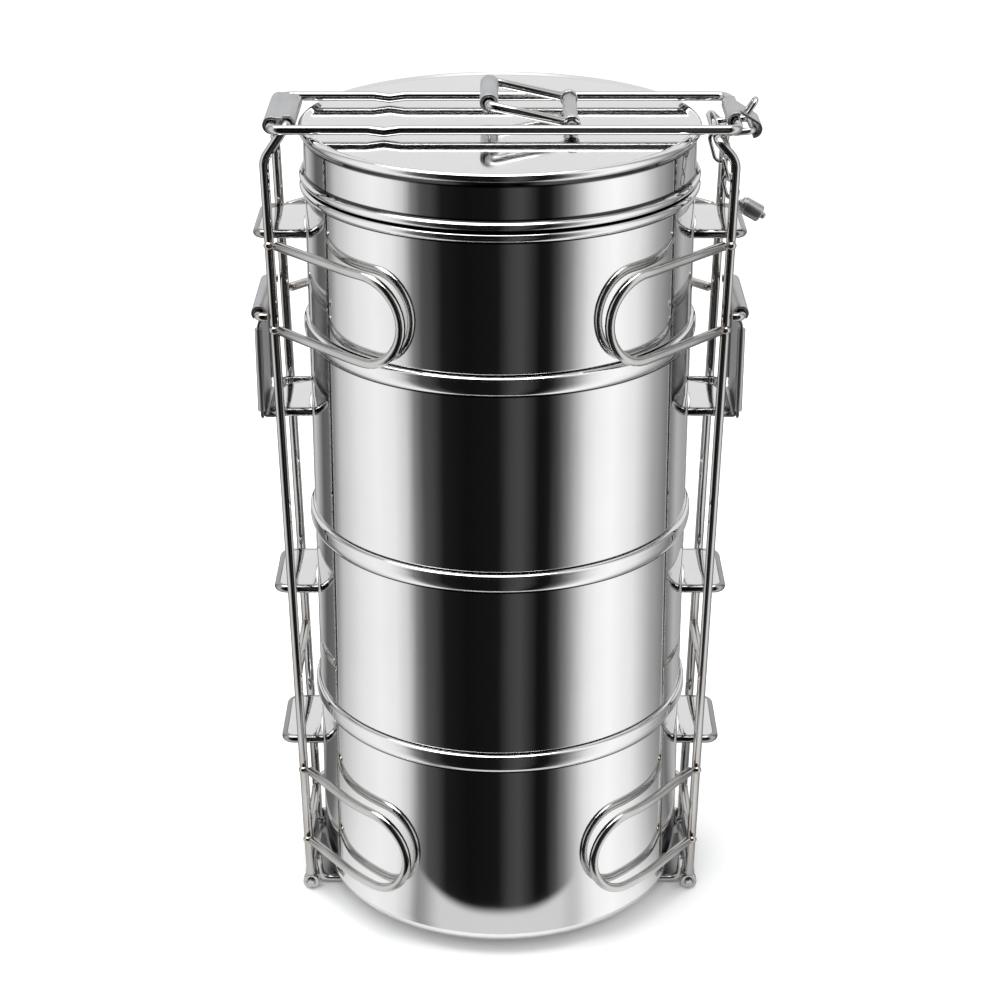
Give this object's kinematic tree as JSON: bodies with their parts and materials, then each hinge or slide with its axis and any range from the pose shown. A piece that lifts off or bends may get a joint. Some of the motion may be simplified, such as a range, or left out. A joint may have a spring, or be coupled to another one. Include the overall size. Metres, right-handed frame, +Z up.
{
  "type": "tiffin carrier",
  "caption": "Stacked round steel food containers with a lid, held in a hinged wire frame with a fold-down carry handle and a hasp lock.",
  "frame": {"origin": "centre of the underside of the base strap, on the container axis, on the table", "axes": "+Z up along the container axis, +X towards the hasp side, -Y towards the viewer"},
  "size_m": [0.1922, 0.15, 0.3332],
  "materials": {
    "polished_steel": "mirror polished stainless steel",
    "wire_steel": "drawn and polished stainless wire",
    "satin_sheet": "satin rolled sheet"
  },
  "bodies": {
    "base": {"base_strap": "satin_sheet", "base_wire_back": "wire_steel", "base_wire_front": "wire_steel", "hinge_pin_left": "wire_steel", "hinge_pin_right": "wire_steel"},
    "tier_4": {"tier_4": "polished_steel", "ear_4_left": "polished_steel", "ear_4_right": "polished_steel"},
    "tier_3": {"tier_3": "polished_steel", "ear_3_left": "polished_steel", "ear_3_right": "polished_steel"},
    "tier_2": {"tier_2": "polished_steel", "ear_2_left": "polished_steel", "ear_2_right": "polished_steel"},
    "tier_1": {"tier_1": "polished_steel", "ear_1_left": "polished_steel", "ear_1_right": "polished_steel"},
    "lid": {"lid": "polished_steel"},
    "left_frame": {"side_wire_left": "wire_steel", "mid_bar_left": "wire_steel", "low_bar_left": "wire_steel", "hinge_plate_left": "satin_sheet", "flap_bar_left": "wire_steel", "hinge_link": "satin_sheet", "upper_loop_left_front": "wire_steel", "upper_loop_left_back": "wire_steel", "lower_loop_left_front": "wire_steel", "lower_loop_left_back": "wire_steel"},
    "right_frame": {"side_wire_right": "wire_steel", "mid_bar_right": "wire_steel", "low_bar_right": "wire_steel", "hinge_plate_right": "satin_sheet", "flap_bar_right": "wire_steel", "keeper_loop": "wire_steel", "upper_loop_right_front": "wire_steel", "upper_loop_right_back": "wire_steel", "lower_loop_right_front": "wire_steel", "lower_loop_right_back": "wire_steel"},
    "left_flap": {"flap_left": "satin_sheet"},
    "right_flap": {"flap_right": "satin_sheet"},
    "top_frame": {"top_wire": "wire_steel", "handle_rod": "satin_sheet"},
    "carry_handle": {"handle_bail": "wire_steel", "handle_grip": "satin_sheet"},
    "hasp": {"hasp": "satin_sheet", "lock_eye": "wire_steel"},
    "lock_chain": {"chain_link_1": "wire_steel", "chain_link_2": "wire_steel", "chain_link_3": "wire_steel", "lock_pin": "satin_sheet"}
  },
  "joints": [
    {"name": "tier_4_lift", "type": "slide", "parent": "base", "child": "tier_4", "axis": [0, 0, 1], "range_m": [0, 0.00947]},
    {"name": "tier_3_lift", "type": "slide", "parent": "base", "child": "tier_3", "axis": [0, 0, 1], "range_m": [0, 0.0189]},
    {"name": "tier_2_lift", "type": "slide", "parent": "base", "child": "tier_2", "axis": [0, 0, 1], "range_m": [0, 0.02832]},
    {"name": "tier_1_lift", "type": "slide", "parent": "base", "child": "tier_1", "axis": [0, 0, 1], "range_m": [0, 0.03775]},
    {"name": "lid_lift", "type": "slide", "parent": "base", "child": "lid", "axis": [0, 0, 1], "range_m": [0, 0.04717]},
    {"name": "left_frame_swing", "type": "hinge", "parent": "base", "child": "left_frame", "pos_m": [-0.0784, 0, 0.0033], "axis": [0, -1, 0], "range_deg": [0, 12]},
    {"name": "right_frame_swing", "type": "hinge", "parent": "base", "child": "right_frame", "pos_m": [0.0784, 0, 0.0033], "axis": [0, 1, 0], "range_deg": [0, 12]},
    {"name": "top_frame_swing", "type": "hinge", "parent": "left_frame", "child": "top_frame", "pos_m": [-0.0832, 0, 0.3225], "axis": [0, -1, 0], "range_deg": [0, 150]},
    {"name": "left_flap_swing", "type": "hinge", "parent": "left_frame", "child": "left_flap", "pos_m": [-0.0905, 0, 0.2505], "axis": [0, 1, 0], "range_deg": [0, 90]},
    {"name": "right_flap_swing", "type": "hinge", "parent": "right_frame", "child": "right_flap", "pos_m": [0.0905, 0, 0.2505], "axis": [0, -1, 0], "range_deg": [0, 90]},
    {"name": "carry_handle_swing", "type": "hinge", "parent": "top_frame", "child": "carry_handle", "pos_m": [0.026, 0, 0.3232], "axis": [0, 1, 0], "range_deg": [0, 105]},
    {"name": "hasp_swing", "type": "hinge", "parent": "top_frame", "child": "hasp", "pos_m": [0.0864, 0, 0.3225], "axis": [0, -1, 0], "range_deg": [0, 100]},
    {"name": "lock_chain_swing", "type": "hinge", "parent": "right_frame", "child": "lock_chain", "pos_m": [0.0797, 0, 0.3169], "axis": [0, -1, 0], "range_deg": [0, 35]}
  ],
  "couplings": [
    {"joint": "tier_4_lift", "follows": "top_frame_swing", "m_per_rad": 0.0036},
    {"joint": "tier_3_lift", "follows": "top_frame_swing", "m_per_rad": 0.0072},
    {"joint": "tier_2_lift", "follows": "top_frame_swing", "m_per_rad": 0.0108},
    {"joint": "tier_1_lift", "follows": "top_frame_swing", "m_per_rad": 0.0144},
    {"joint": "lid_lift", "follows": "top_frame_swing", "m_per_rad": 0.018},
    {"joint": "left_frame_swing", "follows": "top_frame_swing", "ratio": 0.08},
    {"joint": "right_frame_swing", "follows": "top_frame_swing", "ratio": 0.08}
  ]
}
